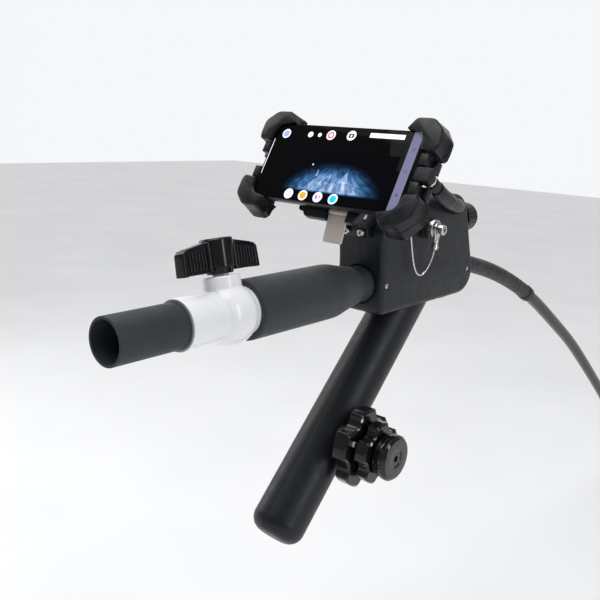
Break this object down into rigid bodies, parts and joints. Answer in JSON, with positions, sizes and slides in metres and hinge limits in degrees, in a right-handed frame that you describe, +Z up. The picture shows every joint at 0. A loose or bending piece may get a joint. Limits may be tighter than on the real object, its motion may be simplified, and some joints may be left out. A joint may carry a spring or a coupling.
{
  "type": "steerable guide hose camera tool",
  "caption": "Pistol-grip guide camera: inlet pipe with ball valve, steerable hose with camera head, steering wheels on the grip and a phone as display.",
  "frame": {"origin": "middle of the hand grip, on the axis of the handle", "axes": "+Y along the inlet pipe, forwards, the way the hose leaves; +Z up; +X to the right of the user, the side with the steering wheels"},
  "size_m": [0.1813, 1.2205, 0.5738],
  "materials": {
    "pipe_grey": "matt extruded pipe, dark grey",
    "pvc_white": "moulded white PVC, satin gloss",
    "valve_inside": "turned ball and seats",
    "black_gloss": "moulded black, glossy",
    "foam_grey": "matt foam rubber, very fine grain",
    "hose_sheath": "matt woven-look rubber",
    "housing_black": "moulded black, satin with fine grain",
    "holder_black": "moulded black, satin",
    "rubber_black": "soft black rubber",
    "steel": "turned and brushed",
    "anodised_black": "black anodised, bright chamfers",
    "board_green": "solder mask",
    "battery_wrap": "shrink wrap",
    "lever_metal": "warm grey, satin",
    "phone_frame": "pale lavender grey, satin",
    "screen_glass": "dark glass, polished",
    "hose_black": "smooth black jacket"
  },
  "bodies": {
    "main": {"inlet_pipe": "pipe_grey", "grip_pipe": "pipe_grey", "valve_body": "pvc_white", "flow_reducer": "pvc_white", "valve_seat_rear": "valve_inside", "valve_seat_front": "valve_inside", "hose_bushing": "black_gloss", "front_cap": "black_gloss", "grip_sleeve": "foam_grey", "hose_sheath": "hose_sheath", "housing_right": "housing_black", "housing_left": "housing_black", "bracket_foot": "holder_black", "front_foot": "rubber_black", "usb_cable": "rubber_black", "lanyard_bush": "rubber_black", "shell_screw_rear": "steel", "shell_screw_grip": "steel", "pipe_screw": "steel", "hose_screw": "steel", "pitch_wire": "steel", "yaw_wire": "steel", "tilt_pin": "steel", "bracket_screw_left": "steel", "bracket_screw_right": "steel", "lanyard_washer": "steel", "lanyard_screw": "steel", "lanyard_lug": "steel", "lanyard_wire": "steel", "hose_ferrule": "steel", "circuit_board": "board_green", "battery_pack": "battery_wrap", "guide_hose": "hose_black"},
    "valve_key": {"valve_ball": "valve_inside", "valve_stem": "valve_inside", "valve_handle": "black_gloss"},
    "large_steering_wheel": {"large_wheel": "anodised_black", "large_wheel_shaft": "steel", "pitch_drum": "anodised_black"},
    "small_steering_wheel": {"small_wheel": "anodised_black", "small_wheel_shaft": "steel", "yaw_drum": "anodised_black"},
    "brake": {"brake_knob": "anodised_black"},
    "display": {"holder_plate": "holder_black", "jaw_right": "holder_black", "claw_top_right": "holder_black", "claw_bottom_right": "holder_black", "tilt_arm": "holder_black", "phone_body": "phone_frame", "phone_screen": "screen_glass", "usb_plug": "rubber_black"},
    "jaw": {"jaw_left": "holder_black", "claw_top_left": "holder_black", "claw_bottom_left": "holder_black"},
    "lever": {"release_lever": "lever_metal"},
    "power_key": {"power_button": "phone_frame"},
    "volume_key": {"volume_rocker": "phone_frame"},
    "tip_joint": {"tip_link": "rubber_black"},
    "camera": {"camera_head": "steel", "lens_window": "screen_glass"}
  },
  "joints": [
    {"name": "valve_turn", "type": "hinge", "parent": "main", "child": "valve_key", "pos_m": [0, -0.1759, 0.09151], "axis": [-0.2419, 0, 0.9703], "range_deg": [0, 90]},
    {"name": "large_wheel_turn", "type": "hinge", "parent": "main", "child": "large_steering_wheel", "pos_m": [0, -0.04194, -0.0429], "axis": [1, 0, 0], "range_deg": [-60, 60]},
    {"name": "small_wheel_turn", "type": "hinge", "parent": "main", "child": "small_steering_wheel", "pos_m": [0, -0.04194, -0.0429], "axis": [1, 0, 0], "range_deg": [-60, 60]},
    {"name": "brake_turn", "type": "hinge", "parent": "main", "child": "brake", "pos_m": [0, -0.04194, -0.0429], "axis": [1, 0, 0], "range_deg": [0, 60]},
    {"name": "display_tilt", "type": "hinge", "parent": "main", "child": "display", "pos_m": [0, -0.02778, 0.15568], "axis": [1, 0, 0], "range_deg": [-15, 15], "deforming": ["usb_cable"]},
    {"name": "lever_swing", "type": "hinge", "parent": "display", "child": "lever", "pos_m": [0, -0.06003, 0.15972], "axis": [1, 0, 0], "range_deg": [0, 35]},
    {"name": "jaw_slide", "type": "slide", "parent": "display", "child": "jaw", "axis": [-1, 0, 0], "range_m": [0, 0.012], "stiffness_N_per_m": 200},
    {"name": "power_press", "type": "slide", "parent": "display", "child": "power_key", "axis": [0, -0.4964, -0.8681], "range_m": [0, 0.0004], "stiffness_N_per_m": 400},
    {"name": "volume_press", "type": "slide", "parent": "display", "child": "volume_key", "axis": [0, -0.4964, -0.8681], "range_m": [0, 0.0004], "stiffness_N_per_m": 400},
    {"name": "tip_pitch", "type": "hinge", "parent": "main", "child": "tip_joint", "pos_m": [0, 0.89041, -0.29775], "axis": [1, 0, 0], "range_deg": [-30.5, 30.5]},
    {"name": "tip_yaw", "type": "hinge", "parent": "tip_joint", "child": "camera", "pos_m": [0, 0.90339, -0.3071], "axis": [0, 0.5843, 0.8115], "range_deg": [-30.5, 30.5]}
  ],
  "couplings": [
    {"joint": "lever_swing", "follows": "jaw_slide", "rad_per_m": 50},
    {"joint": "tip_pitch", "follows": "large_wheel_turn", "ratio": 0.5},
    {"joint": "tip_yaw", "follows": "small_wheel_turn", "ratio": 0.5}
  ]
}
